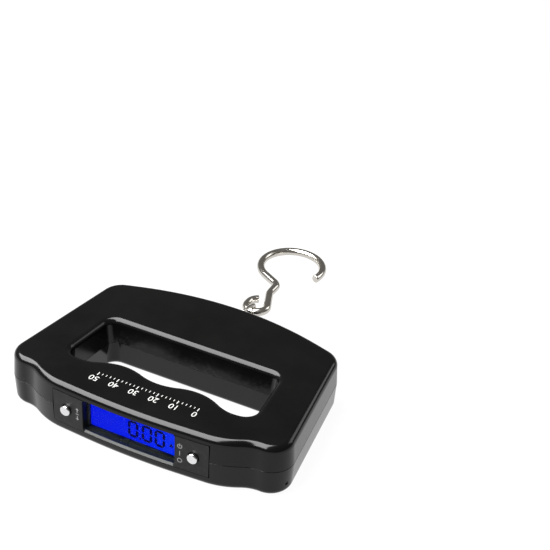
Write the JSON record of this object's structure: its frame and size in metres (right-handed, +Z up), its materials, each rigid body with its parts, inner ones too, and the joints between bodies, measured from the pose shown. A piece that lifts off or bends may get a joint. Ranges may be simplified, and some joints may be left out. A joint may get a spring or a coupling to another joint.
{
  "type": "digital luggage scale",
  "caption": "Hand-held digital luggage scale: black casing with a finger opening, lit display and two keys on its edge, and a swivelling chrome shaft with link and hook.",
  "frame": {"origin": "on the underside plane of the scale as it lies on its back, under the middle of the whole object's box with its hook drawn out", "axes": "+X along the grip, +Y from the display edge towards the hook, +Z up out of the printed front face"},
  "size_m": [0.1334, 0.173, 0.0244],
  "materials": {
    "casing": "fine-grained satin black moulding",
    "bezel": "matt dark grey",
    "window": "clear, glossy",
    "lcd": "lit blue display face",
    "zebra": "elastomer",
    "light": "diffusing light guide",
    "led": "clear",
    "board": "solder mask",
    "chip": "epoxy",
    "switch": "moulded",
    "key": "plated, slightly domed",
    "cell": "machined",
    "sealant": "white silicone over foil gauges",
    "steel": "stamped",
    "screws": "zinc plated",
    "washer": "turned",
    "bright": "bright plated steel",
    "battery": "printed sleeve, no lettering",
    "contact": "nickel plated",
    "lead": "insulation",
    "cable": "sheath"
  },
  "bodies": {
    "casing": {"front_shell": "casing", "back_shell": "casing", "case_screws": "screws", "display_bezel": "bezel", "display_window": "window", "lcd_glass": "lcd", "zebra_strip": "zebra", "backlight": "light", "backlight_leds": "led", "main_board": "board", "board_chips": "chip", "tact_switches": "switch", "board_screws": "screws", "load_cell": "cell", "strain_gauges": "sealant", "cell_bracket": "steel", "cell_screws": "screws", "bracket_screws": "screws", "thrust_washer": "washer", "battery_cells": "battery", "battery_contacts": "contact", "battery_leads": "lead", "cell_cable": "cable"},
    "battery_cover": {"battery_door": "casing"},
    "unit_key": {"unit_button": "key", "unit_plunger": "switch"},
    "tare_key": {"tare_button": "key", "tare_plunger": "switch"},
    "shaft": {"hook_shaft": "bright"},
    "link": {"chain_link": "bright"},
    "hook": {"s_hook": "bright"}
  },
  "joints": [
    {"name": "unit_press", "type": "slide", "parent": "casing", "child": "unit_key", "axis": [0, 1, 0], "range_m": [0, 0.0004], "stiffness_N_per_m": 2000},
    {"name": "tare_press", "type": "slide", "parent": "casing", "child": "tare_key", "axis": [0, 1, 0], "range_m": [0, 0.0004], "stiffness_N_per_m": 2000},
    {"name": "cover_release", "type": "slide", "parent": "casing", "child": "battery_cover", "axis": [0, 0, -1], "range_m": [0, 0.03]},
    {"name": "shaft_swivel", "type": "hinge", "parent": "casing", "child": "shaft", "pos_m": [0, 0.00596, 0.0128], "axis": [0, 1, 0], "continuous": true},
    {"name": "link_swing", "type": "hinge", "parent": "shaft", "child": "link", "pos_m": [0, 0.01591, 0.0128], "axis": [1, 0, 0], "range_deg": [-66, 94]},
    {"name": "hook_swing", "type": "hinge", "parent": "link", "child": "hook", "pos_m": [0, 0.02819, 0.01099], "axis": [0, 0, 1], "range_deg": [-90, 90]}
  ]
}
